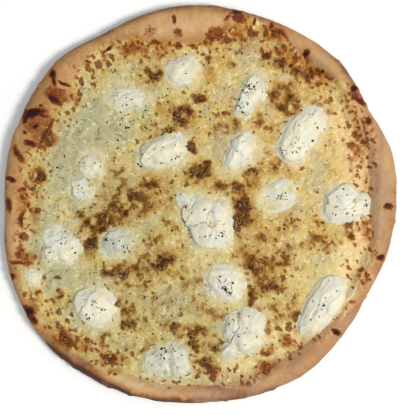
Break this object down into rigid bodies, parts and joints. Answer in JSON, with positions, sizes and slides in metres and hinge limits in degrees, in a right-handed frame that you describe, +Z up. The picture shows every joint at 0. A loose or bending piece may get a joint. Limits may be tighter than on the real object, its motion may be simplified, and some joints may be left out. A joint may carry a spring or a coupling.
{
  "type": "white pizza",
  "caption": "Round white pizza with a puffy browned rim, melted toasted cheese and spoonfuls of ricotta with cracked pepper.",
  "frame": {"origin": "under the middle of the pizza's outline, on the surface that it lies on", "axes": "+Z up through the pizza's thickness, toppings up; +X to the right and +Y to the top of the pizza as seen from above"},
  "size_m": [0.3922, 0.3976, 0.0245],
  "materials": {
    "crust": "baked dough, matte with flour and browned spots",
    "cheese": "melted cheese, half glossy, toasted brown in spots",
    "ricotta": "soft moist curd cheese with cracked pepper"
  },
  "bodies": {
    "root": {"crust": "crust", "cheese": "cheese", "ricotta_01": "ricotta", "ricotta_02": "ricotta", "ricotta_03": "ricotta", "ricotta_04": "ricotta", "ricotta_05": "ricotta", "ricotta_06": "ricotta", "ricotta_07": "ricotta", "ricotta_08": "ricotta", "ricotta_09": "ricotta", "ricotta_10": "ricotta", "ricotta_11": "ricotta", "ricotta_12": "ricotta", "ricotta_13": "ricotta", "ricotta_14": "ricotta", "ricotta_15": "ricotta", "ricotta_16": "ricotta", "ricotta_17": "ricotta", "ricotta_18": "ricotta", "ricotta_19": "ricotta"}
  },
  "joints": []
}
